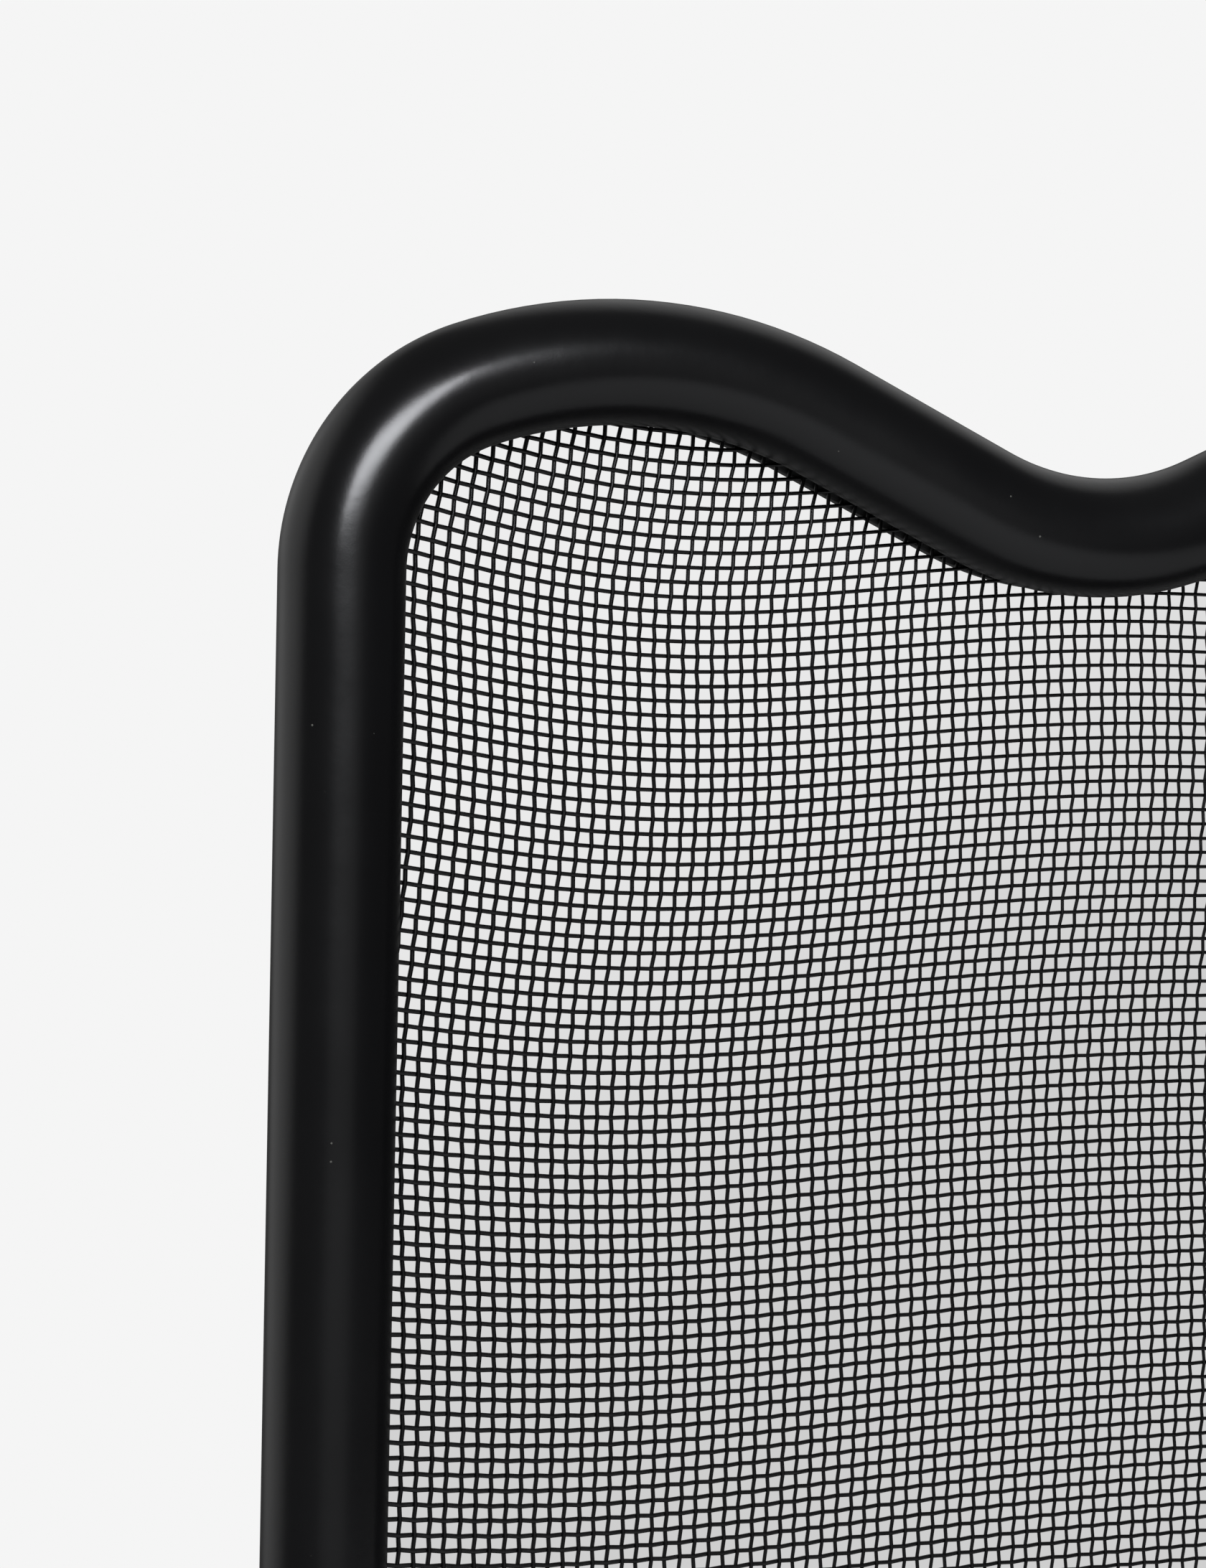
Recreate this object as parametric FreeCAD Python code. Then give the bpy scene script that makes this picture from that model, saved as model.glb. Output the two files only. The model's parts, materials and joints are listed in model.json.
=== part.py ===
"""Single-panel fireplace screen: a wavy-topped frame of round steel tube with a flat woven-wire cloth.

The frame stands upright in the XZ plane. X runs along its width, the room is at -Y and the fire at +Y,
and +Z is up. The origin is at the middle of the footprint, on the surface that the rubber pads stand on.

The tube's centreline is a chain of straight runs and tangent arcs. A bent hoop makes both uprights and
the wavy top, and a bent U makes the base rail and the lower corners. A spigot inside each upright joins
the two. The wire cloth lies flat against the back of the tube, where a flat steel strip clamps it with
self-tapping screws. Two cross tubes stand the frame up, each bolted from below through a saddle into a
threaded boss in the base rail.
"""
import FreeCAD, Part
import math
import os

# ---- driving dimensions: millimetres and degrees ----
# whole screen
OVERALL_WIDTH = 990.0        # over the outsides of the uprights
OVERALL_HEIGHT = 780.0       # floor to the tops of the humps
# frame tube
TUBE_DIAMETER = 25.4
TUBE_WALL = 1.5
# wavy top, measured on the tube's centreline
HUMPS = 5
CORNER_RADIUS = 40.0         # tight bend where an upright turns into the first hump
CORNER_TURN = 70.0           # how far that tight bend turns before the hump's wider arc takes over
HUMP_RADIUS = 100.0
VALLEY_RADIUS = 65.0
SLOPE = 25.0                 # fall of the straight runs between humps and valleys
# base rail
BASE_CORNER_RADIUS = 55.0
JOINT_HEIGHT = 160.0         # where hoop and base rail meet in the uprights
SPIGOT_LENGTH = 80.0
SPIGOT_WALL = 2.0
SPIGOT_CLEARANCE = 0.1       # radial, inside the frame tube
# wire cloth
WIRE_DIAMETER = 0.71
CLOTH_EDGE_INSET = 1.0       # the cloth's cut edge stays this far inside the strip's outer edge
# retaining strips behind the cloth
STRIP_WIDTH = 19.0
STRIP_INSET = 1.6            # the strips' middle lies this far inwards of the tube's centreline
STRIP_THICKNESS = 3.0
STRIP_EDGE_ROUND = 0.5
STRIP_TAIL = 45.0            # straight end of the top and bottom strips, past their corner bends
STRIP_GAP = 1.0              # between the ends of neighbouring strips
# self-tapping screws through strip, cloth and tube wall
SCREW_DIAMETER = 4.2
SCREW_LENGTH = 11.0
SCREW_HEAD_DIAMETER = 8.0
SCREW_HEAD_HEIGHT = 2.6
SCREW_HEAD_ROUND = 1.6
SCREW_RECESS_WIDTH = 1.0
SCREW_RECESS_SPAN = 4.4
SCREW_RECESS_DEPTH = 1.4
SCREW_HOLE_CLEARANCE = 0.15  # radial, in strip and cloth
SCREW_PILOT_CLEARANCE = 0.05  # radial, in the tube wall
SCREW_END_INSET = 14.0       # from a strip's end to its last screw
SIDE_SCREWS = 4              # per side strip
BASE_SCREWS = 7              # along the straight of the bottom strip
# cross feet
FOOT_DIAMETER = 25.4
FOOT_WALL = 1.5
FOOT_LENGTH = 230.0
FOOT_SPACING = 720.0         # between the two feet's centrelines
SADDLE_DIAMETER = 18.0
SADDLE_HEIGHT = 5.0          # clear height between foot and base rail, at the bolt
# domed plugs in the feet's ends
CAP_DOME = 6.0
CAP_RIM = 1.2                # straight rim outside the tube's end
CAP_PLUG_LENGTH = 14.0
CAP_PLUG_CLEARANCE = 0.1
CAP_WALL = 2.0
# rubber pads under the feet
PAD_DIAMETER = 18.0
PAD_HEIGHT = 4.0             # lifts the foot tube off the floor
PAD_SHOULDER = 2.5           # how far the pad's rim climbs round the tube
PAD_ROUND = 1.0
PAD_STEM_DIAMETER = 6.0
PAD_STEM_LENGTH = 5.0        # above the inside of the tube wall
PAD_BARB_DIAMETER = 7.6
PAD_BARB_HEIGHT = 2.0
PAD_BARB_GAP = 1.0           # between the barb and the tube's inner wall
PAD_INSET = 20.0             # from the foot tube's end to the pad's centre
# bolt and boss that hold each foot
BOLT_DIAMETER = 8.0
BOLT_HEAD_DIAMETER = 14.0
BOLT_HEAD_HEIGHT = 4.4
BOLT_HEAD_ROUND = 1.8
BOLT_SOCKET_ACROSS_FLATS = 5.0
BOLT_SOCKET_DEPTH = 2.6
BOLT_HOLE_CLEARANCE = 0.3    # radial, in foot and saddle
BOLT_THREAD_CLEARANCE = 0.05  # radial, in the boss
BOLT_THREAD_ENGAGEMENT = 10.0
ACCESS_HOLE_DIAMETER = 16.0  # under the bolt's head, for the bolt and its key
BOSS_DIAMETER = 14.0
BOSS_LENGTH = 13.0

# ---- worked out from the dimensions above ----
TUBE_RADIUS = TUBE_DIAMETER / 2
TUBE_BORE_RADIUS = TUBE_RADIUS - TUBE_WALL
FOOT_RADIUS = FOOT_DIAMETER / 2
FOOT_BORE_RADIUS = FOOT_RADIUS - FOOT_WALL
UPRIGHT_X = OVERALL_WIDTH / 2 - TUBE_RADIUS
FOOT_AXIS_Z = PAD_HEIGHT + FOOT_RADIUS
BASE_AXIS_Z = FOOT_AXIS_Z + FOOT_RADIUS + SADDLE_HEIGHT + TUBE_RADIUS
TOP_AXIS_Z = OVERALL_HEIGHT - TUBE_RADIUS

CLOTH_THICKNESS = 2 * WIRE_DIAMETER
CLOTH_FRONT_Y = TUBE_RADIUS
STRIP_FRONT_Y = CLOTH_FRONT_Y + CLOTH_THICKNESS
STRIP_BACK_Y = STRIP_FRONT_Y + STRIP_THICKNESS

corner_turn = math.radians(CORNER_TURN)
slope = math.radians(SLOPE)
PEAK_OFFSET = CORNER_RADIUS * (1 - math.cos(corner_turn)) + HUMP_RADIUS * math.cos(corner_turn)
CORNER_RISE = CORNER_RADIUS * math.sin(corner_turn) + HUMP_RADIUS * (1 - math.sin(corner_turn))
HALF_WAVE = (UPRIGHT_X - PEAK_OFFSET) / (HUMPS - 1)
STRAIGHT_RUN = (HALF_WAVE - (HUMP_RADIUS + VALLEY_RADIUS) * math.sin(slope)) / math.cos(slope)
WAVE_DROP = (HUMP_RADIUS + VALLEY_RADIUS) * (1 - math.cos(slope)) + STRAIGHT_RUN * math.sin(slope)
CORNER_START_Z = TOP_AXIS_Z - CORNER_RISE
BASE_CORNER_END_Z = BASE_AXIS_Z + BASE_CORNER_RADIUS

X_AXIS = FreeCAD.Vector(1, 0, 0)
Y_AXIS = FreeCAD.Vector(0, 1, 0)
Z_AXIS = FreeCAD.Vector(0, 0, 1)
SIDES = {"left": -1, "right": 1}
ENDS = {"front": -1, "back": 1}


# ---- plane paths: straight runs and tangent arcs ----
def wave_steps():
    """The top, from the left corner bend to the right one, clockwise turns positive."""
    first_hump_turn = 90 - CORNER_TURN + SLOPE
    steps = [("arc", CORNER_RADIUS, CORNER_TURN), ("arc", HUMP_RADIUS, first_hump_turn)]
    for hump in range(1, HUMPS):
        last = hump == HUMPS - 1
        steps += [
            ("line", STRAIGHT_RUN),
            ("arc", VALLEY_RADIUS, -2 * SLOPE),
            ("line", STRAIGHT_RUN),
            ("arc", HUMP_RADIUS, first_hump_turn if last else 2 * SLOPE),
        ]
    return steps + [("arc", CORNER_RADIUS, CORNER_TURN)]


def base_steps():
    """The base, from the right lower bend to the left one."""
    bend = ("arc", BASE_CORNER_RADIUS, 90)
    return [bend, ("line", 2 * (UPRIGHT_X - BASE_CORNER_RADIUS)), bend]


def path_edges(start, heading, steps, offset=0.0):
    """Edges of a path in the XZ plane, and its end. offset moves the whole path to its left-hand side."""
    angle = math.radians(heading)
    x = start[0] - offset * math.sin(angle)
    z = start[1] + offset * math.cos(angle)
    edges = []
    for kind, size, *turn in steps:
        p = FreeCAD.Vector(x, 0, z)
        if kind == "line":
            x, z = x + size * math.cos(angle), z + size * math.sin(angle)
            edges.append(Part.LineSegment(p, FreeCAD.Vector(x, 0, z)).toShape())
            continue
        side = math.copysign(1, turn[0])
        radius = size + side * offset
        centre = (x + side * radius * math.sin(angle), z - side * radius * math.cos(angle))
        points = [p]
        for share in (0.5, 1.0):
            a = angle - math.radians(turn[0]) * share
            x = centre[0] - side * radius * math.sin(a)
            z = centre[1] + side * radius * math.cos(a)
            points.append(FreeCAD.Vector(x, 0, z))
        edges.append(Part.Arc(*points).toShape())
        angle -= math.radians(turn[0])
    return edges, FreeCAD.Vector(x, 0, z)


def hoop_path(low_z):
    """Start, heading and steps of the hoop's centreline, from low_z on one upright to low_z on the other."""
    leg = ("line", CORNER_START_Z - low_z)
    return (-UPRIGHT_X, low_z), 90, [leg] + wave_steps() + [leg]


def base_path(high_z):
    """The same for the base U, from high_z on the right upright round to high_z on the left."""
    leg = ("line", high_z - BASE_CORNER_END_Z)
    return (UPRIGHT_X, high_z), -90, [leg] + base_steps() + [leg]


def round_bar(path, radius):
    """A round bar along a path: one cylinder or ring sector for each of its edges."""
    edges, _ = path_edges(*path)
    spine = Part.Wire(edges)
    start = edges[0].valueAt(edges[0].FirstParameter)
    along = edges[0].tangentAt(edges[0].FirstParameter)
    profile = Part.Wire([Part.makeCircle(radius, start, along)])
    return spine.makePipeShell([profile], True, False)


def flat_band(path, width, inset, front_y, thickness):
    """A flat strip of even width that follows a path, its middle inset to the path's right-hand side."""
    left, left_end = path_edges(*path, offset=width / 2 - inset)
    right, right_end = path_edges(*path, offset=-width / 2 - inset)
    left_start = left[0].valueAt(left[0].FirstParameter)
    right_start = right[0].valueAt(right[0].FirstParameter)
    far_end = Part.LineSegment(left_end, right_end).toShape()
    near_end = Part.LineSegment(right_start, left_start).toShape()
    outline = Part.Wire(Part.__sortEdges__(left + [far_end] + right + [near_end]))
    band = Part.Face(outline).extrude(Y_AXIS * thickness)
    band.translate(Y_AXIS * front_y)
    outlines = [edge for edge in band.Edges if edge.BoundBox.YLength < thickness / 2]
    return band.makeFillet(STRIP_EDGE_ROUND, outlines)


def cylinder(radius, start, along, length):
    return Part.makeCylinder(radius, length, start, along)


def drilled(shape, radius, places, along, length):
    """shape with a straight round hole from each place."""
    return shape.cut(Part.makeCompound([cylinder(radius, place, along, length) for place in places]))


def screw_drilled(shape, clearance):
    """shape with a hole for every retaining screw, from the frame's mid-plane backwards."""
    return drilled(shape, SCREW_DIAMETER / 2 + clearance, all_screw_places(), Y_AXIS, 2 * STRIP_BACK_Y)


# ---- screw places, on the tube's centreline ----
def spaced(first, last, count):
    return [first + (last - first) * i / (count - 1) for i in range(count)]


def top_screw_places():
    tail_z = CORNER_START_Z - STRIP_TAIL + SCREW_END_INSET
    places = [(side * UPRIGHT_X, tail_z) for side in SIDES.values()]
    first_peak = PEAK_OFFSET - UPRIGHT_X
    for i in range(2 * HUMPS - 1):
        drop = WAVE_DROP if i % 2 else 0.0
        places.append((first_peak + i * HALF_WAVE, TOP_AXIS_Z - drop))
    return [FreeCAD.Vector(x, 0, z) for x, z in places]


def side_screw_places(side):
    low = BASE_CORNER_END_Z + STRIP_TAIL + STRIP_GAP + SCREW_END_INSET
    high = CORNER_START_Z - STRIP_TAIL - STRIP_GAP - SCREW_END_INSET
    return [FreeCAD.Vector(side * UPRIGHT_X, 0, z) for z in spaced(low, high, SIDE_SCREWS)]


def base_screw_places():
    reach = UPRIGHT_X - BASE_CORNER_RADIUS
    tail_z = BASE_CORNER_END_Z + STRIP_TAIL - SCREW_END_INSET
    places = [(side * UPRIGHT_X, tail_z) for side in SIDES.values()]
    places += [(x, BASE_AXIS_Z) for x in spaced(-reach, reach, BASE_SCREWS)]
    return [FreeCAD.Vector(x, 0, z) for x, z in places]


def all_screw_places():
    sides = [p for side in SIDES.values() for p in side_screw_places(side)]
    return top_screw_places() + sides + base_screw_places()


# ---- frame ----
def frame_tube(path):
    """A length of frame tube along a path, with the pilot holes of the screws in its back."""
    tube = round_bar(path, TUBE_RADIUS).cut(round_bar(path, TUBE_BORE_RADIUS))
    return screw_drilled(tube, SCREW_PILOT_CLEARANCE)


def hoop():
    return frame_tube(hoop_path(JOINT_HEIGHT))


def base_rail():
    rail = frame_tube(base_path(JOINT_HEIGHT))
    places = [FreeCAD.Vector(side * FOOT_SPACING / 2, 0, BASE_AXIS_Z) for side in SIDES.values()]
    return drilled(rail, BOSS_DIAMETER / 2, places, -Z_AXIS, TUBE_DIAMETER)


def spigot(side):
    """Sleeve inside an upright, half in the hoop and half in the base rail."""
    foot = FreeCAD.Vector(side * UPRIGHT_X, 0, JOINT_HEIGHT - SPIGOT_LENGTH / 2)
    outer = TUBE_BORE_RADIUS - SPIGOT_CLEARANCE
    sleeve = cylinder(outer, foot, Z_AXIS, SPIGOT_LENGTH)
    sleeve = sleeve.cut(cylinder(outer - SPIGOT_WALL, foot, Z_AXIS, SPIGOT_LENGTH))
    return screw_drilled(sleeve, SCREW_PILOT_CLEARANCE)


# ---- cloth, strips and their screws ----
def wire_cloth():
    """Envelope of the woven wire: a flat sheet, two wires thick, to the strips' outline."""
    start, heading, steps = hoop_path(BASE_CORNER_END_Z)
    edge_offset = STRIP_WIDTH / 2 - STRIP_INSET - CLOTH_EDGE_INSET
    edges, _ = path_edges(start, heading, steps + base_steps(), offset=edge_offset)
    sheet = Part.Face(Part.Wire(edges)).extrude(Y_AXIS * CLOTH_THICKNESS)
    sheet.translate(Y_AXIS * CLOTH_FRONT_Y)
    return screw_drilled(sheet, SCREW_HOLE_CLEARANCE)


def strip(path):
    band = flat_band(path, STRIP_WIDTH, STRIP_INSET, STRIP_FRONT_Y, STRIP_THICKNESS)
    return screw_drilled(band, SCREW_HOLE_CLEARANCE)


def side_strip_path(side):
    low = BASE_CORNER_END_Z + STRIP_TAIL + STRIP_GAP
    high = CORNER_START_Z - STRIP_TAIL - STRIP_GAP
    start_z, heading = (low, 90) if side < 0 else (high, -90)
    return (side * UPRIGHT_X, start_z), heading, [("line", high - low)]


def screw(place):
    """Pan-head self-tapping screw with a cross recess, driven from the back."""
    head_back = STRIP_BACK_Y + SCREW_HEAD_HEIGHT
    head = cylinder(SCREW_HEAD_DIAMETER / 2, place + Y_AXIS * STRIP_BACK_Y, Y_AXIS, SCREW_HEAD_HEIGHT)
    rim = [e for e in head.Edges if e.BoundBox.YMin > head_back - SCREW_HEAD_ROUND]
    head = head.makeFillet(SCREW_HEAD_ROUND, rim)
    for wide, tall in ((SCREW_RECESS_SPAN, SCREW_RECESS_WIDTH), (SCREW_RECESS_WIDTH, SCREW_RECESS_SPAN)):
        corner = place + FreeCAD.Vector(-wide / 2, head_back - SCREW_RECESS_DEPTH, -tall / 2)
        head = head.cut(Part.makeBox(wide, SCREW_HEAD_HEIGHT, tall, corner))
    shank_front = STRIP_BACK_Y - SCREW_LENGTH
    point = SCREW_DIAMETER / 2
    shank = cylinder(point, place + Y_AXIS * (shank_front + point), Y_AXIS, SCREW_LENGTH - point)
    tip = Part.makeCone(0, point, point, place + Y_AXIS * shank_front, Y_AXIS)
    return head.fuse([shank, tip]).removeSplitter()


def screws(places):
    return Part.makeCompound([screw(p) for p in places])


# ---- feet ----
def foot_bar(side, radius, length):
    """A round bar along a foot's axis, centred on the frame."""
    start = FreeCAD.Vector(side * FOOT_SPACING / 2, -length / 2, FOOT_AXIS_Z)
    return cylinder(radius, start, Y_AXIS, length)


def rail_bar(side):
    """The base rail's outside as a round bar, where it crosses a foot."""
    start = FreeCAD.Vector(side * FOOT_SPACING / 2 - FOOT_DIAMETER, 0, BASE_AXIS_Z)
    return cylinder(TUBE_RADIUS, start, X_AXIS, 2 * FOOT_DIAMETER)


def pad_place(side, end):
    return FreeCAD.Vector(side * FOOT_SPACING / 2, end * (FOOT_LENGTH / 2 - PAD_INSET), 0)


def foot(side):
    tube = foot_bar(side, FOOT_RADIUS, FOOT_LENGTH).cut(foot_bar(side, FOOT_BORE_RADIUS, FOOT_LENGTH))
    middle = [FreeCAD.Vector(side * FOOT_SPACING / 2, 0, FOOT_AXIS_Z)]
    tube = drilled(tube, BOLT_DIAMETER / 2 + BOLT_HOLE_CLEARANCE, middle, Z_AXIS, FOOT_DIAMETER)
    tube = drilled(tube, ACCESS_HOLE_DIAMETER / 2, middle, -Z_AXIS, FOOT_DIAMETER)
    pads = [pad_place(side, end) for end in ENDS.values()]
    return drilled(tube, PAD_STEM_DIAMETER / 2, pads, Z_AXIS, FOOT_AXIS_Z)


def foot_cap(side, end):
    """Domed plug: a spherical cap and a short rim outside the tube, a hollow plug inside it."""
    x = side * FOOT_SPACING / 2
    along = Y_AXIS * end
    face = FreeCAD.Vector(x, end * FOOT_LENGTH / 2, FOOT_AXIS_Z)
    dome_radius = (FOOT_RADIUS ** 2 + CAP_DOME ** 2) / (2 * CAP_DOME)
    centre = face + along * (CAP_RIM + CAP_DOME - dome_radius)
    rim = cylinder(FOOT_RADIUS, face, along, CAP_RIM + CAP_DOME)
    dome = Part.makeSphere(dome_radius, centre).common(rim)
    plug_radius = FOOT_BORE_RADIUS - CAP_PLUG_CLEARANCE
    plug = cylinder(plug_radius, face - along * CAP_PLUG_LENGTH, along, CAP_PLUG_LENGTH)
    hollow = cylinder(plug_radius - CAP_WALL, face - along * CAP_PLUG_LENGTH, along, CAP_PLUG_LENGTH)
    return dome.fuse(plug.cut(hollow)).removeSplitter()


def foot_pad(side, end):
    """Rubber pad shaped to the tube, with a barbed stem pushed through the tube's wall."""
    place = pad_place(side, end)
    pad = cylinder(PAD_DIAMETER / 2, place, Z_AXIS, PAD_HEIGHT + PAD_SHOULDER)
    pad = pad.makeFillet(PAD_ROUND, [e for e in pad.Edges if e.BoundBox.ZMax < PAD_HEIGHT])
    pad = pad.cut(foot_bar(side, FOOT_RADIUS, FOOT_LENGTH))
    barb_z = PAD_HEIGHT + FOOT_WALL + PAD_BARB_GAP
    stem_radius = PAD_STEM_DIAMETER / 2
    stem_length = barb_z + PAD_STEM_LENGTH - PAD_ROUND
    stem = cylinder(stem_radius, place + Z_AXIS * PAD_ROUND, Z_AXIS, stem_length)
    barb = Part.makeCone(PAD_BARB_DIAMETER / 2, stem_radius, PAD_BARB_HEIGHT, place + Z_AXIS * barb_z)
    return pad.fuse([stem, barb]).removeSplitter()


def saddle(side):
    """Spacer hollowed to both tubes, between the foot and the base rail."""
    axis = FreeCAD.Vector(side * FOOT_SPACING / 2, 0, FOOT_AXIS_Z)
    height = BASE_AXIS_Z - FOOT_AXIS_Z
    block = cylinder(SADDLE_DIAMETER / 2, axis, Z_AXIS, height)
    block = block.cut(foot_bar(side, FOOT_RADIUS, FOOT_LENGTH)).cut(rail_bar(side))
    return block.cut(cylinder(BOLT_DIAMETER / 2 + BOLT_HOLE_CLEARANCE, axis, Z_AXIS, height))


def bolt_seat_z():
    """Where a flat bolt head meets the inside of the foot's upper wall."""
    return FOOT_AXIS_Z + math.sqrt(FOOT_BORE_RADIUS ** 2 - (BOLT_HEAD_DIAMETER / 2) ** 2)


def foot_bolt(side):
    """Button-head socket bolt, its head inside the foot tube."""
    seat = FreeCAD.Vector(side * FOOT_SPACING / 2, 0, bolt_seat_z())
    head = cylinder(BOLT_HEAD_DIAMETER / 2, seat - Z_AXIS * BOLT_HEAD_HEIGHT, Z_AXIS, BOLT_HEAD_HEIGHT)
    lower_rim = [e for e in head.Edges if e.BoundBox.ZMax < seat.z - BOLT_HEAD_ROUND]
    head = head.makeFillet(BOLT_HEAD_ROUND, lower_rim)
    socket_middle = seat - Z_AXIS * BOLT_HEAD_HEIGHT
    corner = FreeCAD.Vector(BOLT_SOCKET_ACROSS_FLATS / math.sqrt(3), 0, 0)
    sixth_turn = FreeCAD.Rotation(Z_AXIS, 60)
    corners = [socket_middle + corner]
    for _ in range(6):
        corner = sixth_turn.multVec(corner)
        corners.append(socket_middle + corner)
    socket = Part.Face(Part.makePolygon(corners)).extrude(Z_AXIS * BOLT_SOCKET_DEPTH)
    length = BASE_AXIS_Z - TUBE_RADIUS + BOLT_THREAD_ENGAGEMENT - seat.z
    return head.fuse(cylinder(BOLT_DIAMETER / 2, seat, Z_AXIS, length)).cut(socket).removeSplitter()


def boss(side):
    """Threaded boss in the base rail's lower wall, flush with the tube's outside."""
    bottom = FreeCAD.Vector(side * FOOT_SPACING / 2, 0, BASE_AXIS_Z - TUBE_RADIUS)
    plug = cylinder(BOSS_DIAMETER / 2, bottom, Z_AXIS, BOSS_LENGTH)
    bore = cylinder(BOLT_DIAMETER / 2 + BOLT_THREAD_CLEARANCE, bottom, Z_AXIS, BOSS_LENGTH)
    return plug.common(rail_bar(side)).cut(bore)


# ---- every node of the screen ----
def build_nodes():
    nodes = {
        "top_hoop": hoop(),
        "base_rail": base_rail(),
        "wire_cloth": wire_cloth(),
        "retainer_top": strip(hoop_path(CORNER_START_Z - STRIP_TAIL)),
        "retainer_bottom": strip(base_path(BASE_CORNER_END_Z + STRIP_TAIL)),
        "retainer_screws_top": screws(top_screw_places()),
        "retainer_screws_bottom": screws(base_screw_places()),
    }
    for name, side in SIDES.items():
        nodes["spigot_" + name] = spigot(side)
        nodes["retainer_" + name] = strip(side_strip_path(side))
        nodes["retainer_screws_" + name] = screws(side_screw_places(side))
        nodes["foot_tube_" + name] = foot(side)
        nodes["foot_saddle_" + name] = saddle(side)
        nodes["foot_bolt_" + name] = foot_bolt(side)
        nodes["foot_boss_" + name] = boss(side)
        for end_name, end in ENDS.items():
            nodes["foot_cap_{}_{}".format(end_name, name)] = foot_cap(side, end)
            nodes["foot_pad_{}_{}".format(end_name, name)] = foot_pad(side, end)
    return nodes


os.makedirs("parts", exist_ok=True)
for node, shape in build_nodes().items():
    shape.exportStep("parts/{}.step".format(node))
    print(node, "solids", len(shape.Solids), "valid", shape.isValid(), "volume", round(shape.Volume, 1))
print("half wave", round(HALF_WAVE, 2), "straight run", round(STRAIGHT_RUN, 2), "drop", round(WAVE_DROP, 2))
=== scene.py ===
"""Finish and studio view of a single-panel fireplace screen, laid out as a Blender add-on.

The packed model gives the overall sizes and places. The frame tubes and the retaining strips are bent
afresh as smooth meshes along the tube's centreline, the wire cloth is woven wire by wire, and every other
part of the screen keeps its own mesh and gets its finish. Lengths are in metres. X runs along the screen,
and the room is at -Y.
"""

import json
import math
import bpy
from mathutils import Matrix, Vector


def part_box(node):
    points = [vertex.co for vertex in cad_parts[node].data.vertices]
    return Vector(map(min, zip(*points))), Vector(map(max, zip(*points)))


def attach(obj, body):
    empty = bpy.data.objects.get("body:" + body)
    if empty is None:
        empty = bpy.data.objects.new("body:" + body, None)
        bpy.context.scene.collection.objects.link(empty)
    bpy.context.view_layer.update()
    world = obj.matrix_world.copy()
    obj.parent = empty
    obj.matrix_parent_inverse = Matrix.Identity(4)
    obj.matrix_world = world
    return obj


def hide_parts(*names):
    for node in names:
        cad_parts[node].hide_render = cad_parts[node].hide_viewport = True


bl_info = {
    "name": "Fireplace Screen",
    "version": (1, 0, 0),
    "blender": (4, 5, 0),
    "location": "3D View > Sidebar > Screen",
    "description": "Bends the frame, weaves the wire cloth and finishes a wavy-topped fireplace screen",
    "category": "Object",
}

import bmesh
import bpy
import numpy as np
from mathutils import Matrix, Vector
from mathutils.bvhtree import BVHTree

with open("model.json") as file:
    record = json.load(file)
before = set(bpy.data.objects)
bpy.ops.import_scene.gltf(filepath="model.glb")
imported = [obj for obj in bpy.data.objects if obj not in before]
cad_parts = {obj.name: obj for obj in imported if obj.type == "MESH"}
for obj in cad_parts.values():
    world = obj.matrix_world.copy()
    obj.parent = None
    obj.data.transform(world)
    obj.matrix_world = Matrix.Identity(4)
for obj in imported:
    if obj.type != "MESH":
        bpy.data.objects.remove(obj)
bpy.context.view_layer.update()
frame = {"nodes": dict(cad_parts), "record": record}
BODY = "root"

# ---- sizes read from the packed model ----
HOOP_LOW, HOOP_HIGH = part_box("top_hoop")
RAIL_LOW, RAIL_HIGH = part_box("base_rail")
CLOTH_LOW, CLOTH_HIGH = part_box("wire_cloth")
STRIP_LOW, STRIP_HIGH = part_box("retainer_top")
SIDE_STRIP_LOW, SIDE_STRIP_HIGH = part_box("retainer_right")
BASE_STRIP_LOW, BASE_STRIP_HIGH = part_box("retainer_bottom")
TUBE_RADIUS = (HOOP_HIGH.y - HOOP_LOW.y) / 2
UPRIGHT_X = HOOP_HIGH.x - TUBE_RADIUS
TOP_AXIS_Z = HOOP_HIGH.z - TUBE_RADIUS
BASE_AXIS_Z = RAIL_LOW.z + TUBE_RADIUS
JOINT_Z = HOOP_LOW.z
WIRE_RADIUS = (CLOTH_HIGH.y - CLOTH_LOW.y) / 4
CLOTH_MIDDLE_Y = (CLOTH_LOW.y + CLOTH_HIGH.y) / 2
STRIP_WIDTH = SIDE_STRIP_HIGH.x - SIDE_STRIP_LOW.x
STRIP_INSET = UPRIGHT_X - (SIDE_STRIP_LOW.x + SIDE_STRIP_HIGH.x) / 2
STRIP_THICKNESS = STRIP_HIGH.y - STRIP_LOW.y
# a six-sided wire this much wider over its corners has the section of a round one
WIRE_SIDES = 6
HEXAGON_GROWTH = math.sqrt(2 * math.pi / (WIRE_SIDES * math.sin(2 * math.pi / WIRE_SIDES)))

# ---- how the meshes are made ----
MERGE_DISTANCE = 1e-7
SHARP_ANGLE = math.radians(40)
STRIP_EDGE_SEGMENTS = 3
SPACING_SEED = 7

# ---- the studio ----
SOFTBOX_DISTANCE, SOFTBOX_AZIMUTH, SOFTBOX_ELEVATION = 1.6, -8, 20
SOFTBOX_SIZE = (0.86, 0.50)
SOFTBOX_COLOUR = (0.94, 0.96, 1.0)
DARKEST_REFLECTION = 0.02
LEAST_AHEAD = 0.05
SHADE_EDGE = 0.6 * TUBE_RADIUS
SHADE_SLANT = 0.65
SHADE_STARTS, SHADE_ENDS = 0.03, 0.31
SHADE_FADES_OUT, SHADE_IS_WHOLE = 0.70, 0.84
FLOOR_SEGMENTS = 96
FLOOR_FADE_STARTS = 0.55
SENSOR_LONG_SIDE = 36.0

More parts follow.
